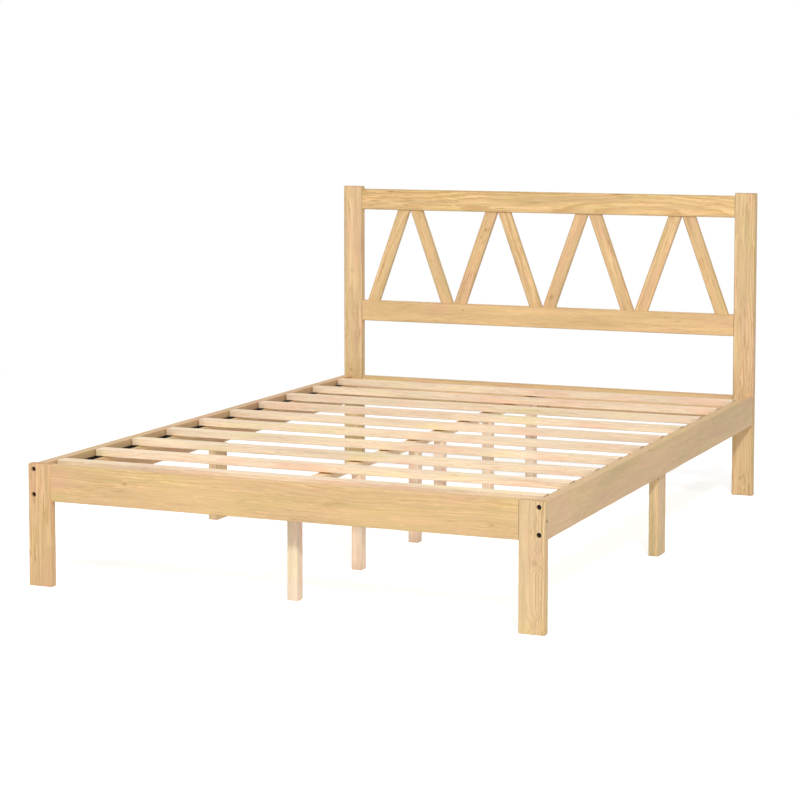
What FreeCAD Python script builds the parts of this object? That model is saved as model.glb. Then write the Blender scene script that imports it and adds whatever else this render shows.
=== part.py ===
import FreeCAD, Part
import math
import os

V = FreeCAD.Vector

# Platform bed in solid pale wood, knock-down frame, zigzag headboard. Millimetres.
# Origin on the floor under the middle of the bed, +Y towards the headboard, +Z up.

# The whole frame
frame_width = 1384.0         # across the outer edges of the uprights
side_rail_length = 1924.0    # between the foot legs and the headboard posts
deck_height = 310.0          # top of the side rails and of the slats
headboard_height = 937.0
foot_rise = 3.0              # foot legs and foot rail above the deck

# Flat stock of the uprights, the foot rail and the headboard rails
board_thickness = 22.0
upright_width = 66.0
board_easing = 2.5
board_end_chamfer = 1.5
rail_tenon_length = 24.0     # into the upright's inner edge
rail_tenon_thickness = 10.0
rail_tenon_shoulder = 12.0   # above and below the tenon
joint_clearance = 0.2        # on each side of a tenon, nut or housed piece

# Rails round the deck
side_rail_thickness = 28.0
side_rail_depth = 90.0
side_rail_setback = 2.0      # outer face in from the outer edge of the uprights
foot_rail_depth = 94.0
head_rail_depth = 90.0

# Headboard
post_reveal = 9.0            # height of the posts above the top rail
headboard_rail_depth = 67.0
zigzag_height = 300.0        # clear height between the top and middle rails
zigzag_pair_count = 4
zigzag_slat_width = 40.0
zigzag_slat_thickness = 12.0
zigzag_apex_gap = 2.0        # between the two slats of a pair, under the top rail
zigzag_foot_gap = 3.0        # between one pair and the next, on the middle rail
zigzag_post_margin = 18.0    # from a post to the nearest slat's foot
zigzag_chamfer = 1.2
zigzag_tenon_width = 24.0
zigzag_tenon_thickness = 8.0
zigzag_tenon_length = 10.0

# Slats across the deck
slat_count = 10
slat_width = 40.0
slat_thickness = 18.5
slat_chamfer = 1.2
slat_end_gap = 4.0           # from a slat's end to the side rail
first_slat_gap = 63.0        # from the foot rail to the first slat
last_slat_gap = 88.5         # from the last slat to the headboard

# Ledge housed in each side rail, with a grip tape along the rail
ledger_width = 38.0          # shown beside the rail
ledger_depth = 20.0
ledger_housing_depth = 3.0
ledger_end_gap = 45.0
tape_width = 22.0
tape_thickness = 1.5
tape_edge_gap = 0.4

# Beam in two halves and its legs, under the middle of the slats
beam_width = 36.0
beam_thickness = 18.0
beam_slat_gap = 4.0          # below the slats, which spring down onto it
beam_end_gap = 1.0
beam_lap_length = 80.0
beam_lap_gap = 0.3           # at each end of the half lap
centre_leg_count = 3         # on each half
centre_leg_size = 29.0
centre_leg_margin = 92.5     # from the ends of a half to the middles of its outer legs
centre_tenon_size = 16.0
centre_tenon_length = 9.0
cleat_width = 60.0
cleat_reach = 24.0
cleat_depth = 30.0
cleat_housing_depth = 3.0

# Leg under the middle of each side rail
side_leg_width = 66.0
side_leg_thickness = 28.0
side_leg_inset = 8.5         # from the rail's outer face to the leg's
side_leg_shift = 6.0         # from the middle of the rail towards the headboard
side_tenon_width = 40.0
side_tenon_thickness = 12.0
side_tenon_length = 20.0

# Corner bolts, each drawn up on a square nut in a slot of the side rail
bolt_radius = 3.0
bolt_tip_length = 2.0        # past the nut
bolt_head_flats = 10.0
bolt_head_height = 4.0
bolt_head_sides = 6
bolt_top_drop = 11.0         # from the top of the side rail to the upper bolt
bolt_spacing = 65.0
counterbore_radius = 6.2
counterbore_depth = 9.5
bolt_clearance = 0.25
nut_width = 12.0
nut_thickness = 5.0
nut_depth = 36.0             # from the end of the rail to the far side of the nut
nut_slot_room = 3.5          # behind the nut, for the bolt's tip

# Screw through each foot leg into the end of the foot rail
screw_length = 104.0
screw_radius = 2.2
screw_head_radius = 4.0
screw_head_height = 2.4
screw_tip_length = 5.0
screw_sink = 0.6             # depth of the head below the leg's outer edge
screw_clearance = 0.2

overrun = 4.0                # how far a cutter passes the face that it opens

# Faces that several pieces share, on the left-hand side
left_edge = -frame_width / 2
upright_inner = left_edge + upright_width
rail_outer = left_edge + side_rail_setback
rail_inner = rail_outer + side_rail_thickness
foot_face = -side_rail_length / 2 - board_thickness
foot_back = foot_face + board_thickness
head_front = foot_back + side_rail_length
head_back = head_front + board_thickness
foot_top = deck_height + foot_rise
side_rail_bottom = deck_height - side_rail_depth
slat_bottom = deck_height - slat_thickness
ledger_top = slat_bottom - tape_thickness
beam_top = slat_bottom - beam_slat_gap
beam_bottom = beam_top - beam_thickness
top_rail_top = headboard_height - post_reveal
top_rail_bottom = top_rail_top - headboard_rail_depth
middle_rail_top = top_rail_bottom - zigzag_height
middle_rail_bottom = middle_rail_top - headboard_rail_depth
bolt_length = board_thickness - counterbore_depth + nut_depth + bolt_tip_length
slat_pitch = (side_rail_length - first_slat_gap - last_slat_gap - slat_width) / (slat_count - 1)

# The zigzag: width of a pair, a slat's reach across, its angle from the vertical and its level cut
zigzag_room = frame_width - 2 * (upright_width + zigzag_post_margin) - (zigzag_pair_count - 1) * zigzag_foot_gap
zigzag_pair_width = zigzag_room / zigzag_pair_count
zigzag_reach = (zigzag_pair_width - zigzag_apex_gap) / 2
zigzag_diagonal = math.hypot(zigzag_reach, zigzag_height)
zigzag_angle = math.acos(zigzag_slat_width / zigzag_diagonal) - math.atan2(zigzag_height, zigzag_reach)
zigzag_level_cut = zigzag_slat_width / math.cos(zigzag_angle)

across = V(1, 0, 0)
along = V(0, 1, 0)
up = V(0, 0, 1)


def block(x_span, y_span, z_span):
    corner = V(x_span[0], y_span[0], z_span[0])
    return Part.makeBox(x_span[1] - x_span[0], y_span[1] - y_span[0], z_span[1] - z_span[0], corner)


def spread(span, margin):
    return (span[0] - margin, span[1] + margin)


def about(middle, size):
    return (middle - size / 2, middle + size / 2)


def edges_along(shape, grain):
    aligned = []
    for edge in shape.Edges:
        if edge.tangentAt(edge.FirstParameter).cross(grain).Length < Part.Precision.confusion():
            aligned.append(edge)
    return aligned


def rounded(shape, grain):
    return shape.makeFillet(board_easing, edges_along(shape, grain))


def chamfered(shape, grain, size):
    return shape.makeChamfer(size, edges_along(shape, grain))


def mirrored_left_right(shape):
    return shape.mirror(V(0, 0, 0), across)


def mirrored_foot_head(shape):
    return shape.mirror(V(0, 0, 0), along)


def placed(shape, seat, direction):
    # turns a shape made along +Z so that it runs in the direction given, from the seat
    shape.Placement = FreeCAD.Placement(seat, FreeCAD.Rotation(up, direction))
    return shape


# Corner bolts, left-hand side

def bolt_seats():
    x = rail_outer + side_rail_thickness / 2
    seats = []
    for drop in (bolt_top_drop, bolt_top_drop + bolt_spacing):
        z = deck_height - drop
        seats.append((V(x, foot_face + counterbore_depth, z), along))
        seats.append((V(x, head_back - counterbore_depth, z), -along))
    return seats


def bed_bolt(seat, direction):
    corner_radius = bolt_head_flats / 2 / math.cos(math.pi / bolt_head_sides)
    corners = []
    for i in range(bolt_head_sides + 1):
        turn = 2 * math.pi * i / bolt_head_sides
        corners.append(V(corner_radius * math.cos(turn), corner_radius * math.sin(turn), -bolt_head_height))
    head = Part.Face(Part.makePolygon(corners)).extrude(up * bolt_head_height)
    shank = Part.makeCylinder(bolt_radius, bolt_length)
    return placed(head.fuse(shank), seat, direction)


def bed_bolt_bore(seat, direction):
    mouth_depth = counterbore_depth + overrun
    mouth = Part.makeCylinder(counterbore_radius, mouth_depth, seat - direction * mouth_depth, direction)
    return mouth.fuse(Part.makeCylinder(bolt_radius + bolt_clearance, bolt_length, seat, direction))


def nut_box(seat, direction, clearance=0, room=0):
    # the nut's place on its bolt, or with a clearance and room behind it the slot that it lies in
    face = seat + direction * (bolt_length - bolt_tip_length - nut_thickness - clearance)
    back = seat + direction * (bolt_length - bolt_tip_length + room)
    side = nut_width + 2 * clearance
    return about(seat.x, side), sorted((face.y, back.y)), about(seat.z, side)


def square_nut(seat, direction):
    hole = Part.makeCylinder(bolt_radius + bolt_clearance, bolt_length, seat, direction)
    return block(*nut_box(seat, direction)).cut(hole)


def nut_slot(seat, direction):
    # cut from the inner face of the side rail
    x_span, y_span, z_span = nut_box(seat, direction, joint_clearance, nut_slot_room)
    return block((x_span[0], rail_inner + overrun), y_span, z_span)


# Flat boards: uprights, and the rails that are tenoned into them

head_board = (head_front, head_back)
foot_board = (foot_face, foot_back)
top_rail_span = (top_rail_bottom, top_rail_top)
middle_rail_span = (middle_rail_bottom, middle_rail_top)
head_rail_span = (deck_height - head_rail_depth, deck_height)
foot_rail_span = (foot_top - foot_rail_depth, foot_top)


def upright(board, height):
    post = rounded(block((left_edge, upright_inner), board, (0, height)), up)
    ends = [edge for edge in post.Edges if edge.BoundBox.ZLength < Part.Precision.confusion()]
    return post.makeChamfer(board_end_chamfer, ends)


def rail_tenon(board, z_span, clearance=0):
    # the tenon on the left end of a rail, or with a clearance its mortise
    x_span = (upright_inner - rail_tenon_length - clearance, upright_inner + clearance)
    y_span = about((board[0] + board[1]) / 2, rail_tenon_thickness + 2 * clearance)
    return block(x_span, y_span, spread(z_span, clearance - rail_tenon_shoulder))


def tenoned_rail(board, z_span):
    rail = rounded(block((upright_inner, -upright_inner), board, z_span), across)
    tenon = rail_tenon(board, z_span)
    return rail.fuse([tenon, mirrored_left_right(tenon)])


# Headboard

def headboard_post():
    rail_spans = (top_rail_span, middle_rail_span, head_rail_span)
    cutters = [rail_tenon(head_board, z_span, joint_clearance) for z_span in rail_spans]
    cutters += [bed_bolt_bore(seat, direction) for seat, direction in bolt_seats() if direction == -along]
    return upright(head_board, headboard_height).cut(cutters)


def zigzag_tenons(foot_left, clearance=0):
    # the tenons of a slat that rises to the right, or with a clearance their mortises
    width = zigzag_tenon_width + 2 * clearance
    length = zigzag_tenon_length + clearance
    y_span = about((head_front + head_back) / 2, zigzag_tenon_thickness + 2 * clearance)
    foot_span = about(foot_left + zigzag_level_cut / 2, width)
    top_span = about(foot_left + zigzag_reach - zigzag_level_cut / 2, width)
    return [
        block(foot_span, y_span, (middle_rail_top - length, middle_rail_top)),
        block(top_span, y_span, (top_rail_bottom, top_rail_bottom + length))]


def zigzag_slat(foot_left):
    # a parallelogram that rises to the right, with a stub tenon at both ends
    y = (head_front + head_back - zigzag_slat_thickness) / 2
    foot_right = foot_left + zigzag_level_cut
    top_right = foot_left + zigzag_reach
    outline = [
        V(foot_left, y, middle_rail_top), V(foot_right, y, middle_rail_top),
        V(top_right, y, top_rail_bottom), V(top_right - zigzag_level_cut, y, top_rail_bottom),
        V(foot_left, y, middle_rail_top)]
    slat = Part.Face(Part.makePolygon(outline)).extrude(along * zigzag_slat_thickness)
    slat = chamfered(slat, V(math.sin(zigzag_angle), 0, math.cos(zigzag_angle)), zigzag_chamfer)
    return slat.fuse(zigzag_tenons(foot_left))


def zigzag():
    # the slats in order from the left, and the mortises of them all
    slats = []
    mortises = []
    for pair in range(zigzag_pair_count):
        foot_left = upright_inner + zigzag_post_margin + pair * (zigzag_pair_width + zigzag_foot_gap)
        apex = V(foot_left + zigzag_pair_width / 2, 0, 0)
        rising = zigzag_slat(foot_left)
        slats += [rising, rising.mirror(apex, across)]
        for mortise in zigzag_tenons(foot_left, joint_clearance):
            mortises += [mortise, mortise.mirror(apex, across)]
    return slats, mortises


# Foot end

def turned(profile):
    # a foot screw or its hole, turned from radius and depth pairs measured from the screw's head
    outline = [V(radius, 0, depth) for radius, depth in profile + profile[:1]]
    body = Part.Face(Part.makePolygon(outline)).revolve(V(0, 0, 0), up, 360)
    seat = V(left_edge + screw_sink, (foot_face + foot_back) / 2, foot_top - foot_rail_depth / 2)
    return placed(body, seat, across)


def foot_screw():
    return turned([
        (0, 0), (screw_head_radius, 0), (screw_radius, screw_head_height),
        (screw_radius, screw_length - screw_tip_length), (0, screw_length)])


def foot_screw_hole():
    mouth = -screw_sink - overrun
    wide = screw_head_radius + screw_clearance
    narrow = screw_radius + screw_clearance
    return turned([
        (0, mouth), (wide, mouth), (wide, 0), (narrow, screw_head_height),
        (narrow, screw_length - screw_tip_length), (0, screw_length + screw_clearance)])


def foot_leg():
    cutters = [rail_tenon(foot_board, foot_rail_span, joint_clearance), foot_screw_hole()]
    cutters += [bed_bolt_bore(seat, direction) for seat, direction in bolt_seats() if direction == along]
    return upright(foot_board, foot_top).cut(cutters)


def foot_rail(cleat_housing):
    hole = foot_screw_hole()
    rail = tenoned_rail(foot_board, foot_rail_span)
    return rail.cut([hole, mirrored_left_right(hole), cleat_housing])


# Side rail, the ledge housed in it and the leg under it

def ledger_body(clearance=0):
    # the ledge, or with a clearance the housing that it is glued in
    y_span = (foot_back + ledger_end_gap - clearance, head_front - ledger_end_gap + clearance)
    z_span = spread((ledger_top - ledger_depth, ledger_top), clearance)
    return block((rail_inner - ledger_housing_depth, rail_inner + ledger_width), y_span, z_span)


def slat_ledger():
    ledger = ledger_body()
    shown = [edge for edge in edges_along(ledger, along) if edge.BoundBox.XMin > rail_inner]
    return ledger.makeChamfer(slat_chamfer, shown)


def side_tenon(clearance=0):
    # stands on the leg where the rail covers it
    x_span = about((rail_outer + side_leg_inset + rail_inner) / 2, side_tenon_thickness + 2 * clearance)
    y_span = about(side_leg_shift, side_tenon_width + 2 * clearance)
    return block(x_span, y_span, (side_rail_bottom, side_rail_bottom + side_tenon_length + clearance))


def side_leg():
    x_span = (rail_outer + side_leg_inset, rail_outer + side_leg_inset + side_leg_thickness)
    leg = block(x_span, about(side_leg_shift, side_leg_width), (0, side_rail_bottom))
    return rounded(leg, up).fuse(side_tenon())


def side_rail():
    rail = block((rail_outer, rail_inner), (foot_back, head_front), (side_rail_bottom, deck_height))
    cutters = [bed_bolt_bore(seat, direction) for seat, direction in bolt_seats()]
    cutters += [nut_slot(seat, direction) for seat, direction in bolt_seats()]
    return rounded(rail, along).cut(cutters + [ledger_body(joint_clearance), side_tenon(joint_clearance)])


def grip_tape():
    x_span = (rail_inner + tape_edge_gap, rail_inner + tape_edge_gap + tape_width)
    y_span = (foot_back + ledger_end_gap, head_front - ledger_end_gap)
    return block(x_span, y_span, (ledger_top, slat_bottom))


# Slats

def slat_front(number):
    return foot_back + first_slat_gap + (number - 1) * slat_pitch


def bed_slat(number):
    end = -rail_inner - slat_end_gap
    y_span = (slat_front(number), slat_front(number) + slat_width)
    return chamfered(block((-end, end), y_span, (slat_bottom, deck_height)), across, slat_chamfer)


# Beam in two halves with a half lap, its legs, and the blocks that its ends lie on

def centre_leg_middles():
    # evenly spread along each half of the beam, in order from the foot
    first = foot_back + beam_end_gap + centre_leg_margin
    pitch = (-centre_leg_margin - first) / (centre_leg_count - 1)
    foot_half = [first + i * pitch for i in range(centre_leg_count)]
    return foot_half + [-middle for middle in reversed(foot_half)]


def centre_tenon(middle, clearance=0):
    side = centre_tenon_size + 2 * clearance
    z_span = (beam_bottom, beam_bottom + centre_tenon_length + clearance)
    return block(about(0, side), about(middle, side), z_span)


def centre_leg(middle):
    leg = block(about(0, centre_leg_size), about(middle, centre_leg_size), (0, beam_bottom))
    return chamfered(leg, up, slat_chamfer).fuse(centre_tenon(middle))


def centre_beams():
    lap = beam_lap_length / 2
    mid_height = (beam_bottom + beam_top) / 2
    x_span = about(0, beam_width)
    whole = chamfered(
        block(x_span, (foot_back + beam_end_gap, head_front - beam_end_gap), (beam_bottom, beam_top)),
        along, slat_chamfer)
    whole = whole.cut([centre_tenon(middle, joint_clearance) for middle in centre_leg_middles()])
    wide = spread(x_span, overrun)
    above = (mid_height, beam_top + overrun)
    below = (beam_bottom - overrun, mid_height)
    foot_half = whole.cut([
        block(wide, (lap - beam_lap_gap, head_front), above), block(wide, (-lap, head_front), below)])
    head_half = whole.cut([
        block(wide, (foot_back, lap), above), block(wide, (foot_back, beam_lap_gap - lap), below)])
    return foot_half, head_half


def cleat_body(clearance=0):
    x_span = about(0, cleat_width + 2 * clearance)
    y_span = (foot_back - cleat_housing_depth, foot_back + cleat_reach)
    return block(x_span, y_span, spread((beam_bottom - cleat_depth, beam_bottom), clearance))


def beam_cleat():
    cleat = cleat_body()
    shown = [edge for edge in edges_along(cleat, across) if edge.BoundBox.YMin > foot_back]
    return cleat.makeChamfer(slat_chamfer, shown)


def build():
    nodes = {}

    def pair(name, shape):
        nodes[name + "_left"] = shape
        nodes[name + "_right"] = mirrored_left_right(shape)

    def both_sides(name, shapes):
        nodes[name] = Part.makeCompound(shapes + [mirrored_left_right(shape) for shape in shapes])

    slats, mortises = zigzag()
    cleat_housing = cleat_body(joint_clearance)
    pair("headboard_post", headboard_post())
    nodes["headboard_top_rail"] = tenoned_rail(head_board, top_rail_span).cut(mortises)
    nodes["headboard_middle_rail"] = tenoned_rail(head_board, middle_rail_span).cut(mortises)
    nodes["head_rail"] = tenoned_rail(head_board, head_rail_span).cut(mirrored_foot_head(cleat_housing))
    for number, slat in enumerate(slats, 1):
        nodes["zigzag_slat_%d" % number] = slat

    pair("foot_leg", foot_leg())
    nodes["foot_rail"] = foot_rail(cleat_housing)
    both_sides("foot_rail_screws", [foot_screw()])

    pair("side_rail", side_rail())
    pair("side_leg", side_leg())
    both_sides("bed_bolts", [bed_bolt(seat, direction) for seat, direction in bolt_seats()])
    both_sides("square_nuts", [square_nut(seat, direction) for seat, direction in bolt_seats()])
    pair("slat_ledger", slat_ledger())
    pair("grip_tape", grip_tape())
    for number in range(1, slat_count + 1):
        nodes["bed_slat_%d" % number] = bed_slat(number)

    nodes["centre_beam_foot"], nodes["centre_beam_head"] = centre_beams()
    for number, middle in enumerate(centre_leg_middles(), 1):
        nodes["centre_leg_%d" % number] = centre_leg(middle)
    nodes["beam_cleat_foot"] = beam_cleat()
    nodes["beam_cleat_head"] = mirrored_foot_head(nodes["beam_cleat_foot"])
    return nodes


os.makedirs("parts", exist_ok=True)
for name, shape in build().items():
    shape.exportStep("parts/%s.step" % name)
    print(name, len(shape.Solids), round(shape.Volume))
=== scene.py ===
# Platform bed in pale wood with a zigzag headboard. Metres, +Y towards the headboard, +Z up.
import math
import random

import bmesh
import bpy
from mathutils import Matrix, Vector


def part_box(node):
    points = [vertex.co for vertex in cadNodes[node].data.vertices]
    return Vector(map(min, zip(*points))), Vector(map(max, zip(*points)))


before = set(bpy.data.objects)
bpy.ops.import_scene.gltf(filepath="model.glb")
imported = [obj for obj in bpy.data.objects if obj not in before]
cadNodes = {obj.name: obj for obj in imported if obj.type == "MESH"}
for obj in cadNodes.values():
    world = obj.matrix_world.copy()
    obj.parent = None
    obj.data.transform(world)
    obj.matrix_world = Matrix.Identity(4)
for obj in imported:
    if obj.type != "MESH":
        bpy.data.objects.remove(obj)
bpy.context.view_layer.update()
print("bed loaded:", len(cadNodes), "pieces")


# Small helpers for node trees

def feed(tree, node, inputs):
    # a socket is linked, and anything else is set as the input's own value
    for name, value in inputs.items():
        if isinstance(value, bpy.types.NodeSocket):
            tree.links.new(value, node.inputs[name])
        else:
            node.inputs[name].default_value = value


def addNode(tree, kind, inputs=None, **settings):
    node = tree.nodes.new(kind)
    for name, value in settings.items():
        setattr(node, name, value)
    feed(tree, node, inputs or {})
    return node


def mathOut(tree, operation, first, second=0.0, third=0.0):
    return addNode(tree, "ShaderNodeMath", {0: first, 1: second, 2: third}, operation=operation).outputs[0]


def productOut(tree, first, *others):
    for other in others:
        first = mathOut(tree, "MULTIPLY", first, other)
    return first


def sumOut(tree, start, *parts):
    # start plus each value times its weight
    for value, weight in parts:
        start = mathOut(tree, "MULTIPLY_ADD", value, weight, start)
    return start


def lineOut(tree, value, line):
    start, gain = line
    return sumOut(tree, start, (value, gain))


def rangeOut(tree, value, span, toLow=0.0, toHigh=1.0):
    # a smooth step from toLow to toHigh over the span
    node = addNode(tree, "ShaderNodeMapRange", {
        "Value": value, "From Min": span[0], "From Max": span[1], "To Min": toLow, "To Max": toHigh},
        interpolation_type="SMOOTHSTEP")
    return node.outputs[0]


def vectorOut(tree, operation, first, second=(0, 0, 0)):
    node = addNode(tree, "ShaderNodeVectorMath", {0: first, 1: second}, operation=operation)
    return node.outputs["Value" if operation in ("LENGTH", "DOT_PRODUCT") else "Vector"]


def scaleOut(tree, vector, factor):
    node = addNode(tree, "ShaderNodeVectorMath", {0: vector, "Scale": factor}, operation="SCALE")
    return node.outputs["Vector"]


def joinOut(tree, x, y, z):
    return addNode(tree, "ShaderNodeCombineXYZ", {0: x, 1: y, 2: z}).outputs[0]


def splitOut(tree, vector):
    return addNode(tree, "ShaderNodeSeparateXYZ", {0: vector}).outputs


def mixOut(tree, factor, first, second):
    # sockets 6 and 7 are a Mix node's two colours, and output 2 is the mixed one
    return addNode(tree, "ShaderNodeMix", {0: factor, 6: first, 7: second}, data_type="RGBA").outputs[2]


noiseMiddle = 0.5    # every noise swings about this


def noiseOut(tree, place, noise, output="Fac"):
    scale, detail, roughness = noise
    return addNode(tree, "ShaderNodeTexNoise", {
        "Vector": vectorOut(tree, "MULTIPLY", place, scale), "Scale": 1.0, "Detail": detail,
        "Roughness": roughness}).outputs[output]


def driftOut(tree, place, noise):
    # a noise for each axis, about zero
    return vectorOut(tree, "SUBTRACT", noiseOut(tree, place, noise, "Color"), (noiseMiddle,) * 3)


def toneOut(tree, noise, depth):
    # 1 at the middle of the noise, darker below it and lighter above
    return sumOut(tree, 1.0, (mathOut(tree, "SUBTRACT", noise, noiseMiddle), depth))


def bumpOut(tree, height, strength, depth):
    return addNode(tree, "ShaderNodeBump", {
        "Strength": strength, "Distance": depth, "Height": height}).outputs[0]


def newMaterial(name):
    material = bpy.data.materials.new(name)
    material.use_nodes = True
    tree = material.node_tree
    return material, tree, tree.nodes["Principled BSDF"]


def newGroup(name, inputs, outputs):
    group = bpy.data.node_groups.new(name, "ShaderNodeTree")
    for direction, sockets in (("INPUT", inputs), ("OUTPUT", outputs)):
        for label, kind in sockets:
            group.interface.new_socket(name=label, in_out=direction, socket_type="NodeSocket" + kind)
    return group, group.nodes.new("NodeGroupInput").outputs, group.nodes.new("NodeGroupOutput")


# Wood: rings about a heart outside the board, streaks, tint patches, knots, end grain and painted shade
# along the edges

noises = {    # features per metre across, through and along the board, then detail and roughness
    "wander": ((4.0, 4.0, 1.5), 1.0, 0.5),          # how the heart drifts along a board
    "wobble": ((55.0, 55.0, 12.0), 2.0, 0.5),       # small waves in each ring
    "band": ((60.0, 60.0, 3.2), 3.0, 0.5),          # wide light and dark bands
    "streak": ((250.0, 250.0, 9.0), 3.0, 0.6),
    "dash": ((330.0, 330.0, 15.0), 2.0, 0.6),       # short dark dashes along the grain
    "glint": ((270.0, 270.0, 26.0), 1.0, 0.5),      # short pale ones between them
    "fibre": ((1500.0, 1500.0, 30.0), 2.0, 0.6),
    "fleck": ((900.0, 900.0, 85.0), 1.0, 0.5),      # fine dark pores
    "busy": ((17.0, 17.0, 3.4), 2.0, 0.5),          # busy stretches of grain between calm ones
    "patch": ((21.0, 21.0, 5.5), 2.0, 0.5),         # yellow and pink tints
    "cloud": ((9.0, 9.0, 2.6), 1.0, 0.5),           # long light and dark stretches
}

grain = {    # a span is where a smooth step begins and ends, and a line is a start and a gain
    "seedStep": (3.17, 5.71, 7.93),                  # gives each board its own stretch of noise
    "wander": 0.036, "wobble": 0.0042,               # how far the rings swing
    "flowDrift": 0.030, "flowWave": 0.016,           # how far streaks and dashes swing with them
    "riseSpan": (0.25, 0.90), "fallSpan": (0.90, 1.00), "yearLine": (0.3, 0.7),    # late wood in a ring
    "fadeSpan": (0.62, 0.88), "fadeStreak": 0.5, "fadeLeast": 0.25,    # rings fade in the dark bands
    "busySpan": (0.40, 0.60), "dashSpan": (0.50, 0.72),
    "glintSpan": (0.56, 0.70), "fleckSpan": (0.66, 0.74),
    "yellowSpan": (0.30, 0.47), "pinkSpan": (0.53, 0.70),
    "dashFigureLine": (0.12, 0.80), "dashBusyLine": (0.30, 0.90),
    "bandFigureLine": (0.24, 0.50), "streakBusyLine": (0.14, 0.26),
    "glintLine": (1.0, 0.08), "fibreLine": (0.93, 0.14), "fleckLine": (1.0, -0.07),
    "leanLeast": 0.1,
    "edgeShadeSpan": (0.0, 0.0045),                       # a darker line along each edge, painted shade
}

knotLook = {    # spans are in the knot's own radii
    "pushSpan": (0.0, 4.5), "push": 0.013,           # how far it bends the grain
    "haloSpan": (0.9, 2.8), "halo": 0.5,
    "bodySpan": (0.70, 1.10), "rings": 3.4, "ringDepth": 0.5,
    "throughShare": 0.12, "alongShare": 0.62,        # a knot is long through and along its board
    "shade": 0.8, "farAway": 99.0,
}

endGrain = {"facing": (0.75, 0.95), "figure": 0.6, "depth": 0.55, "tint": (0.80, 0.70, 0.58)}

woodSurface = {
    "rough": 0.50, "fibreRough": 0.12, "endRough": 0.14, "lateRough": -0.06,
    "lateHeight": 0.35, "streakHeight": 0.30, "fibreHeight": 0.45, "fleckHeight": -0.30,
    "bump": 0.35, "bumpDepth": 0.0004, "gloss": 0.35,
}


def makeKnotGroup():
    # distance from the nearest knot, in that knot's radii
    group, given, result = newGroup(
        "knotDistance",
        [("Place", "Vector"), ("Centre", "Vector"), ("Stretch", "Vector"), ("Nearest", "Float")],
        [("Distance", "Float")])
    offset = vectorOut(group, "SUBTRACT", given["Place"], given["Centre"])
    length = vectorOut(group, "LENGTH", vectorOut(group, "MULTIPLY", offset, given["Stretch"]))
    feed(group, result, {"Distance": mathOut(group, "MINIMUM", length, given["Nearest"])})
    return group


def edgeOut(tree, place, half):
    # distance from the nearest edge of the face that the place is on
    depth = splitOut(tree, vectorOut(tree, "SUBTRACT", half, vectorOut(tree, "ABSOLUTE", place)))
    nearer = mathOut(tree, "MINIMUM", depth[0], depth[1])
    further = mathOut(tree, "MAXIMUM", depth[0], depth[1])
    return mathOut(tree, "MAXIMUM", nearer, mathOut(tree, "MINIMUM", further, depth[2]))


def lateWoodOut(tree, rings):
    # dark late wood grows through a year's ring and stops at its end
    share = mathOut(tree, "FRACT", rings)
    year = mathOut(tree, "FLOOR", rings)
    strength = addNode(tree, "ShaderNodeTexWhiteNoise", {"W": year}, noise_dimensions="1D").outputs["Value"]
    rise = rangeOut(tree, share, grain["riseSpan"])
    fall = rangeOut(tree, share, grain["fallSpan"], 1.0, 0.0)
    return productOut(tree, rise, fall, lineOut(tree, strength, grain["yearLine"]))


def addKnots(tree, given, colour):
    # a halo about each knot, then its ringed body
    near = given["Knot"]
    shade = given["KnotShade"]
    halo = productOut(tree, rangeOut(tree, near, knotLook["haloSpan"], knotLook["halo"], 0.0), shade)
    body = productOut(tree, rangeOut(tree, near, knotLook["bodySpan"], 1.0, 0.0), shade)
    rings = mathOut(tree, "PINGPONG", productOut(tree, near, knotLook["rings"]), knotLook["ringDepth"])
    bodyTone = mixOut(tree, rings, given["KnotTone"], given["Late"])
    return mixOut(tree, body, mixOut(tree, halo, colour, given["Late"]), bodyTone)


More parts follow.
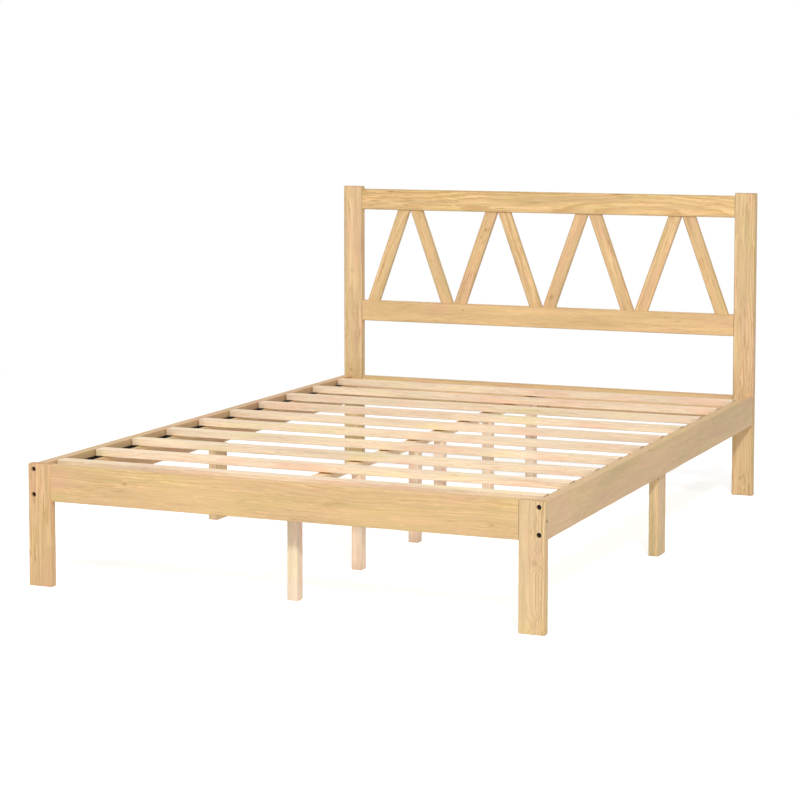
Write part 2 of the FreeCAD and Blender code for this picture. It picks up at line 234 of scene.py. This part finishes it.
def makeGrainGroup():
    group, given, result = newGroup(
        "boardGrain",
        [("Place", "Vector"), ("Heart", "Vector"), ("Half", "Vector"), ("Seed", "Float"), ("Ring", "Float"),
         ("Figure", "Float"), ("Lean", "Float"), ("Curl", "Float"), ("Warmth", "Float"), ("Knot", "Float"),
         ("KnotShade", "Float"), ("End", "Float"), ("PaintedEdgeShade", "Float"), ("Liveliness", "Float"),
         ("Early", "Color"), ("Late", "Color"), ("Yellow", "Color"), ("Pink", "Color"),
         ("KnotTone", "Color")],
        [("Colour", "Color"), ("Roughness", "Float"), ("Height", "Float")])
    place = vectorOut(group, "ADD", given["Place"], scaleOut(group, grain["seedStep"], given["Seed"]))
    drift = driftOut(group, place, noises["wander"])
    wave = driftOut(group, place, noises["wobble"])
    push = rangeOut(group, given["Knot"], knotLook["pushSpan"], knotLook["push"], 0.0)

    sway = vectorOut(group, "ADD", scaleOut(group, drift, grain["wander"]),
                     scaleOut(group, wave, grain["wobble"]))
    bent = vectorOut(group, "ADD", vectorOut(group, "SUBTRACT", given["Place"], given["Heart"]), sway)
    radius = vectorOut(group, "LENGTH", vectorOut(group, "MULTIPLY", bent, (1, 1, 0)))
    rings = mathOut(group, "DIVIDE", mathOut(group, "ADD", radius, push), given["Ring"])
    lateWood = lateWoodOut(group, rings)

    # bands, streaks, dashes, glints and fibres swing with the rings, and the others don't
    curl = productOut(group, given["Curl"], grain["flowWave"])
    swing = vectorOut(group, "ADD", scaleOut(group, drift, grain["flowDrift"]),
                      vectorOut(group, "MULTIPLY", wave, joinOut(group, curl, curl, 0.0)))
    flow = vectorOut(group, "ADD", vectorOut(group, "ADD", place, joinOut(group, push, 0.0, 0.0)), swing)
    band = noiseOut(group, flow, noises["band"])
    streak = noiseOut(group, flow, noises["streak"])
    dash = rangeOut(group, noiseOut(group, flow, noises["dash"]), grain["dashSpan"])
    glint = rangeOut(group, noiseOut(group, flow, noises["glint"]), grain["glintSpan"])
    fibre = noiseOut(group, flow, noises["fibre"])
    fleck = rangeOut(group, noiseOut(group, place, noises["fleck"]), grain["fleckSpan"])
    busy = rangeOut(group, noiseOut(group, place, noises["busy"]), grain["busySpan"])
    patch = mathOut(group, "ADD", noiseOut(group, place, noises["patch"]), given["Warmth"])
    cloud = noiseOut(group, place, noises["cloud"])

    edge = edgeOut(group, given["Place"], given["Half"])
    across = splitOut(group, vectorOut(group, "DIVIDE", given["Place"], given["Half"]))[0]
    lean = mathOut(group, "MAXIMUM", sumOut(group, 1.0, (across, given["Lean"])), grain["leanLeast"])
    bandAndStreak = sumOut(group, band, (streak, grain["fadeStreak"]))
    fade = rangeOut(group, bandAndStreak, grain["fadeSpan"], grain["fadeLeast"], 1.0)
    figure = productOut(group, lateWood, given["Figure"], fade,
                        sumOut(group, lean, (given["End"], endGrain["figure"])))
    dashes = productOut(group, dash, lineOut(group, given["Figure"], grain["dashFigureLine"]),
                        lineOut(group, busy, grain["dashBusyLine"]), lean)
    tone = productOut(
        group,
        toneOut(group, band, lineOut(group, given["Figure"], grain["bandFigureLine"])),
        toneOut(group, streak, productOut(group, lineOut(group, busy, grain["streakBusyLine"]), lean)),
        toneOut(group, cloud, given["Liveliness"]),
        lineOut(group, glint, grain["glintLine"]),
        lineOut(group, fibre, grain["fibreLine"]),
        lineOut(group, fleck, grain["fleckLine"]),
        # painted shade: a darker line along each edge
        rangeOut(group, edge, grain["edgeShadeSpan"], given["PaintedEdgeShade"], 1.0))

    colour = mixOut(group, rangeOut(group, patch, grain["yellowSpan"]), given["Yellow"], given["Early"])
    colour = mixOut(group, rangeOut(group, patch, grain["pinkSpan"]), colour, given["Pink"])
    colour = mixOut(group, figure, colour, given["Late"])
    colour = mixOut(group, dashes, colour, given["Late"])
    colour = addKnots(group, given, scaleOut(group, colour, tone))
    endColour = vectorOut(group, "MULTIPLY", colour, endGrain["tint"])
    feed(group, result, {
        "Colour": mixOut(group, productOut(group, given["End"], endGrain["depth"]), colour, endColour),
        "Roughness": sumOut(
            group, woodSurface["rough"], (fibre, woodSurface["fibreRough"]),
            (given["End"], woodSurface["endRough"]), (lateWood, woodSurface["lateRough"])),
        "Height": sumOut(
            group, 0.0, (lateWood, woodSurface["lateHeight"]), (streak, woodSurface["streakHeight"]),
            (fibre, woodSurface["fibreHeight"]), (fleck, woodSurface["fleckHeight"]))})
    return group


knotGroup = makeKnotGroup()
grainGroup = makeGrainGroup()

woods = {
    # each wood's edge tone is the painted shade along its edges, 1 for none
    "frame": {
        "paintedEdgeShade": 0.74, "liveliness": 0.22,
        "colours": {
            "Early": (0.800, 0.555, 0.292), "Late": (0.540, 0.315, 0.125), "Yellow": (0.760, 0.555, 0.262),
            "Pink": (0.810, 0.520, 0.300), "KnotTone": (0.380, 0.200, 0.085)}},
    "slat": {
        "paintedEdgeShade": 0.90, "liveliness": 0.42,
        "colours": {
            "Early": (0.960, 0.775, 0.545), "Late": (0.790, 0.530, 0.290), "Yellow": (0.950, 0.798, 0.475),
            "Pink": (0.972, 0.682, 0.475), "KnotTone": (0.560, 0.340, 0.170)}},
}

# first words of a node's name: wood, figure, its lean to one side, its curl, warmth, ring width, tint; the
# tint is partly the board's own tone and partly painted light and shade
boardLooks = {
    "headboard_post": ("frame", 0.88, 0.3, 0.5, 0.02, 0.0042, (1.00, 1.04, 1.05)),
    "headboard_top_rail": ("frame", 1.30, 0.0, 0.5, -0.02, 0.0050, (1.04, 1.03, 0.95)),
    "headboard_middle_rail": ("frame", 0.35, 0.0, 0.4, 0.05, 0.0045, (1.02, 1.01, 0.97)),
    "head_rail": ("frame", 0.40, 0.0, 0.4, 0.00, 0.0045, (1.00, 1.00, 1.00)),
    "zigzag_slat": ("frame", 0.90, 0.0, 0.7, 0.01, 0.0040, (1.03, 1.03, 1.01)),
    "foot_leg_left": ("frame", 0.85, -0.2, 0.4, 0.05, 0.0040, (0.93, 0.90, 0.89)),
    "foot_leg_right": ("frame", 0.85, 0.9, 1.0, -0.01, 0.0052, (0.95, 0.99, 1.04)),
    "foot_rail": ("frame", 0.52, 0.0, 0.6, -0.03, 0.0046, (0.96, 0.93, 0.90)),
    "side_rail": ("frame", 0.22, 0.0, 0.4, 0.02, 0.0048, (0.90, 0.89, 0.92)),
    "side_leg": ("frame", 1.10, 0.5, 0.8, 0.00, 0.0040, (0.97, 1.01, 1.10)),
    # the ledger's darker tint is painted shade from the slats above it
    "slat_ledger": ("frame", 0.40, 0.0, 0.3, 0.02, 0.0036, (0.87, 0.86, 0.83)),
    "bed_slat": ("slat", 0.55, 0.0, 0.5, 0.03, 0.0040, (1.00, 1.00, 1.03)),
    "centre_beam": ("slat", 0.40, 0.0, 0.3, 0.02, 0.0038, (0.97, 0.93, 0.92)),
    "centre_leg": ("slat", 0.50, 0.0, 0.5, 0.03, 0.0036, (0.96, 0.96, 1.04)),
    "beam_cleat": ("frame", 0.40, 0.0, 0.3, 0.02, 0.0036, (1.00, 1.00, 1.00)),
}

softEdgeShade = {"foot_leg": 0.97, "foot_rail": 0.97, "side_rail": 0.95}    # less painted shade along the edges here, so these joints hardly show

handKnots = {    # from the middle of a board: across, along the grain, radius
    "foot_leg_right": [(0.005, -0.136, 0.0062), (0.013, 0.012, 0.0045)],
    "foot_rail": [(0.014, -0.413, 0.0026), (-0.018, 0.560, 0.0016)],
    "headboard_post_left": [(-0.004, 0.190, 0.0016), (-0.010, -0.140, 0.0022)],
    "headboard_post_right": [(-0.006, -0.415, 0.0024)],
    "side_leg_right": [(-0.006, -0.085, 0.0020)],
    "headboard_top_rail": [(0.020, -0.526, 0.0018)],
    "headboard_middle_rail": [(0.014, -0.269, 0.0022)],
    "zigzag_slat_3": [(0.002, 0.098, 0.0026), (-0.005, 0.070, 0.0016)],
    "zigzag_slat_5": [(-0.004, -0.126, 0.0045)],
    "side_rail_right": [(0.026, -0.853, 0.0020)],
}

knotShades = {"foot_leg_right": 0.14, "zigzag_slat_5": 0.5, "zigzag_slat_3": 0.9}    # 0 pale, 1 dark

boardRandom = random.Random(41)
boardDraws = {
    "swing": 1.2, "reach": (0.055, 0.120),           # heart: flat sawn near 0, quarter sawn near 1.5
    "knotCounts": [0, 0, 0, 1], "knotRadii": (0.0010, 0.0018),
    "acrossShare": 0.4, "alongShare": 0.45,          # how far from the middle a knot may lie
    "seeds": 60, "warmth": 0.07,
}

zigzagTilt = math.radians(19.7)


def lookFor(name, looks, otherwise=None):
    # the first entry whose key starts the name
    return next((look for start, look in looks.items() if name.startswith(start)), otherwise)


def boardTurn(name):
    # rows of the turn: across the face, through the board, along the grain
    low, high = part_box(name)
    sides = high - low
    axes = [Vector((1, 0, 0)), Vector((0, 1, 0)), Vector((0, 0, 1))]
    along = axes[max(range(3), key=lambda i: sides[i])]
    through = axes[min(range(3), key=lambda i: sides[i])]
    if name.startswith("zigzag_slat"):
        tilt = zigzagTilt if int(name.split("_")[-1]) % 2 else -zigzagTilt
        along = Vector((math.sin(tilt), 0, math.cos(tilt)))
        through = axes[1]
    across = through.cross(along)
    if sum(across) < 0:
        through = -through
        across = -across
    return Matrix((across, through, along)), (low + high) / 2, sorted(sides)


def drawWithin(most):
    return boardRandom.uniform(-most, most)


def drawHeart():
    swing = drawWithin(boardDraws["swing"])
    reach = boardRandom.uniform(*boardDraws["reach"])
    side = boardRandom.choice([-1, 1])
    return (math.sin(swing) * reach, side * math.cos(swing) * reach, 0)


def drawKnots(width, length):
    knots = []
    for _ in range(boardRandom.choice(boardDraws["knotCounts"])):
        across = drawWithin(boardDraws["acrossShare"]) * width
        along = drawWithin(boardDraws["alongShare"]) * length
        knots.append((across, along, boardRandom.uniform(*boardDraws["knotRadii"])))
    return knots


def knotOut(tree, place, knots):
    nearest = knotLook["farAway"]
    for across, along, radius in knots:
        stretch = (1 / radius, knotLook["throughShare"] / radius, knotLook["alongShare"] / radius)
        knot = addNode(tree, "ShaderNodeGroup", {
            "Place": place, "Centre": (across, 0, along), "Stretch": stretch, "Nearest": nearest},
            node_tree=knotGroup)
        nearest = knot.outputs["Distance"]
    return nearest


def makeBoardWood(name):
    woodName, figure, lean, curl, warmth, ringWidth, tint = lookFor(name, boardLooks)
    wood = woods[woodName]
    turn, middle, (_, width, length) = boardTurn(name)
    corners = [turn @ (vertex.co - middle) for vertex in cadNodes[name].data.vertices]
    half = [max(abs(corner[axis]) for corner in corners) for axis in range(3)]
    heart = drawHeart()
    knots = handKnots.get(name) or drawKnots(width, length)
    seed = boardRandom.uniform(0, boardDraws["seeds"])
    material, tree, shader = newMaterial("wood_" + name)
    position = addNode(tree, "ShaderNodeTexCoord").outputs
    place = addNode(tree, "ShaderNodeMapping", {
        "Vector": position["Object"], "Location": -(turn @ middle),
        "Rotation": turn.to_euler("XYZ")}).outputs[0]
    facing = mathOut(tree, "ABSOLUTE", vectorOut(tree, "DOT_PRODUCT", position["Normal"], tuple(turn[2])))
    inputs = {
        "Place": place, "Heart": heart, "Half": half, "Seed": seed, "Ring": ringWidth, "Figure": figure,
        "Lean": lean, "Curl": curl, "Warmth": warmth + drawWithin(boardDraws["warmth"]),
        "Knot": knotOut(tree, place, knots), "KnotShade": knotShades.get(name, knotLook["shade"]),
        "End": rangeOut(tree, facing, endGrain["facing"]),
        # the painted shade along the edges
        "PaintedEdgeShade": lookFor(name, softEdgeShade, wood["paintedEdgeShade"]), "Liveliness": wood["liveliness"]}
    for label, colour in wood["colours"].items():
        # each colour times the tint, which is partly painted light and shade
        inputs[label] = tuple(part * share for part, share in zip(colour, tint)) + (1,)
    board = addNode(tree, "ShaderNodeGroup", inputs, node_tree=grainGroup).outputs
    feed(tree, shader, {
        "Base Color": board["Colour"], "Roughness": board["Roughness"],
        "Normal": bumpOut(tree, board["Height"], woodSurface["bump"], woodSurface["bumpDepth"]),
        "Specular IOR Level": woodSurface["gloss"]})
    return material


def finishWood():
    # the foot rail's screws share its first words, and get their steel further on
    names = [name for name in sorted(cadNodes) if lookFor(name, boardLooks)]
    for name in names:
        cadNodes[name].material_slots[0].material = makeBoardWood(name)
    print("wood finished:", len(names), "pieces")


finishWood()


# Steel and tape

steelLook = {
    "cloud": ((320.0, 320.0, 320.0), 3.0, 0.5), "cloudSpan": (0.35, 0.70),
    "scratch": ((2400.0, 2400.0, 60.0), 2.0, 0.5), "scratchLine": (0.32, 0.20),
    "bump": 0.2, "bumpDepth": 0.0002, "gloss": 0.2,
}

blackSteel = {"dark": (0.002, 0.0015, 0.0015, 1), "bright": (0.008, 0.006, 0.005, 1), "metallic": 0.0}
zincSteel = {"dark": (0.42, 0.43, 0.45, 1), "bright": (0.66, 0.67, 0.68, 1), "metallic": 1.0}


def makeSteel(name, steel):
    material, tree, shader = newMaterial(name)
    place = addNode(tree, "ShaderNodeTexCoord").outputs["Object"]
    cloud = rangeOut(tree, noiseOut(tree, place, steelLook["cloud"]), steelLook["cloudSpan"])
    scratch = noiseOut(tree, place, steelLook["scratch"])
    feed(tree, shader, {
        "Base Color": mixOut(tree, cloud, steel["dark"], steel["bright"]),
        "Roughness": lineOut(tree, scratch, steelLook["scratchLine"]),
        "Normal": bumpOut(tree, scratch, steelLook["bump"], steelLook["bumpDepth"]),
        "Metallic": steel["metallic"], "Specular IOR Level": steelLook["gloss"]})
    return material


tapeLook = {
    "pile": ((2600.0, 2600.0, 2600.0), 3.0, 0.7),
    "dark": (0.003, 0.002, 0.002, 1), "bright": (0.015, 0.011, 0.009, 1),
    "bump": 0.8, "bumpDepth": 0.0006, "roughness": 0.9, "gloss": 0.02, "sheen": 0.01,
}


def makeTape():
    material, tree, shader = newMaterial("black_grip_tape")
    pile = noiseOut(tree, addNode(tree, "ShaderNodeTexCoord").outputs["Object"], tapeLook["pile"])
    feed(tree, shader, {
        "Base Color": mixOut(tree, pile, tapeLook["dark"], tapeLook["bright"]),
        "Normal": bumpOut(tree, pile, tapeLook["bump"], tapeLook["bumpDepth"]),
        "Roughness": tapeLook["roughness"], "Specular IOR Level": tapeLook["gloss"],
        "Sheen Weight": tapeLook["sheen"]})
    return material


def finishHardware():
    finishes = [
        (makeSteel("black_oxide_steel", blackSteel), ("bed_bolts", "foot_rail_screws")),
        (makeSteel("zinc_plated_steel", zincSteel), ("square_nuts",)),
        (makeTape(), ("grip_tape_left", "grip_tape_right")),
    ]
    for material, names in finishes:
        for name in names:
            cadNodes[name].material_slots[0].material = material
    print("hardware and tape finished")


finishHardware()


# Floor, light and camera

white = (1, 1, 1, 1)

studio = {
    "floorReach": 30.0, "floorLift": -0.0002, "ambient": 0.39,
    "bounce": (0.88, 0.88, 0.88, 1),                 # the floor that lights the bed
    "pale": (0.93, 0.93, 0.93, 1), "glow": 0.50,     # the floor that the camera sees
    "plainSpan": (2.0, 4.0),                         # it turns to plain white between these distances
}


def whiteRays(tree):
    # 1 for what the camera sees, straight or in a reflection or through glass
    path = addNode(tree, "ShaderNodeLightPath").outputs
    seen = mathOut(tree, "MAXIMUM", path["Is Camera Ray"], path["Is Glossy Ray"])
    return mathOut(tree, "MAXIMUM", seen, path["Is Transmission Ray"])


def makeFloor():
    mesh = bpy.data.meshes.new("floor")
    shape = bmesh.new()
    bmesh.ops.create_grid(shape, x_segments=1, y_segments=1, size=studio["floorReach"])
    bmesh.ops.translate(shape, verts=shape.verts, vec=(0, 0, studio["floorLift"]))
    shape.to_mesh(mesh)
    shape.free()
    floor = bpy.data.objects.new("floor", mesh)
    bpy.context.scene.collection.objects.link(floor)
    material, tree, shader = newMaterial("pale_floor")
    tree.nodes.remove(shader)
    plain = addNode(tree, "ShaderNodeBsdfDiffuse", {"Color": studio["bounce"]}).outputs[0]
    pale = addNode(tree, "ShaderNodeBsdfDiffuse", {"Color": studio["pale"]}).outputs[0]
    glow = addNode(tree, "ShaderNodeEmission", {"Color": white, "Strength": studio["glow"]}).outputs[0]
    near = addNode(tree, "ShaderNodeAddShader", {0: pale, 1: glow}).outputs[0]
    far = addNode(tree, "ShaderNodeEmission", {"Color": white, "Strength": 1.0}).outputs[0]
    place = addNode(tree, "ShaderNodeTexCoord").outputs["Object"]
    farShare = rangeOut(tree, vectorOut(tree, "LENGTH", place), studio["plainSpan"])
    seen = addNode(tree, "ShaderNodeMixShader", {0: farShare, 1: near, 2: far}).outputs[0]
    mixed = addNode(tree, "ShaderNodeMixShader", {0: whiteRays(tree), 1: plain, 2: seen}).outputs[0]
    feed(tree, tree.nodes["Material Output"], {"Surface": mixed})
    mesh.materials.append(material)


def makeWorld():
    world = bpy.data.worlds.new("studio")
    world.use_nodes = True
    bpy.context.scene.world = world
    tree = world.node_tree
    level = rangeOut(tree, whiteRays(tree), (0.0, 1.0), studio["ambient"], 1.0)
    feed(tree, tree.nodes["Background"], {"Color": white, "Strength": level})


lampAim = Vector((0, 0, 0.3))
lamps = {    # place, side, watts
    "keyLamp": ((5.14, -9.25, 7.50), 1.2, 737.0),
    "leftLamp": ((-6.5, -10.0, 5.0), 5.0, 165.0),
    "topLamp": ((0.0, -1.5, 8.0), 5.0, 131.0),
}


def makeLamps():
    for name, (place, side, watts) in lamps.items():
        light = bpy.data.lights.new(name, "AREA")
        light.shape = "SQUARE"
        light.size = side
        light.energy = watts
        lamp = bpy.data.objects.new(name, light)
        lamp.location = place
        lamp.rotation_euler = (lampAim - Vector(place)).to_track_quat("-Z", "Y").to_euler()
        lamp.visible_camera = False
        bpy.context.scene.collection.objects.link(lamp)


view = {
    "place": (2.376, -5.836, 1.261), "yaw": 0.3991, "dip": 0.0789, "reach": 200.0, "sensor": 36.0,
    "focalPixels": 2260.5, "imagePixels": 800, "axisRow": 266,    # the row that the lens axis meets
}


def makeCamera():
    data = bpy.data.cameras.new("camera")
    data.sensor_width = view["sensor"]
    data.lens = view["focalPixels"] * view["sensor"] / view["imagePixels"]
    data.shift_y = (view["axisRow"] - view["imagePixels"] / 2) / view["imagePixels"]
    data.clip_end = view["reach"]
    camera = bpy.data.objects.new("camera", data)
    camera.location = view["place"]
    camera.rotation_euler = (math.pi / 2 - view["dip"], 0, view["yaw"])
    bpy.context.scene.collection.objects.link(camera)
    bpy.context.scene.camera = camera


makeFloor()
makeWorld()
makeLamps()
makeCamera()
bpy.context.scene.view_settings.view_transform = "Standard"
print("studio ready")
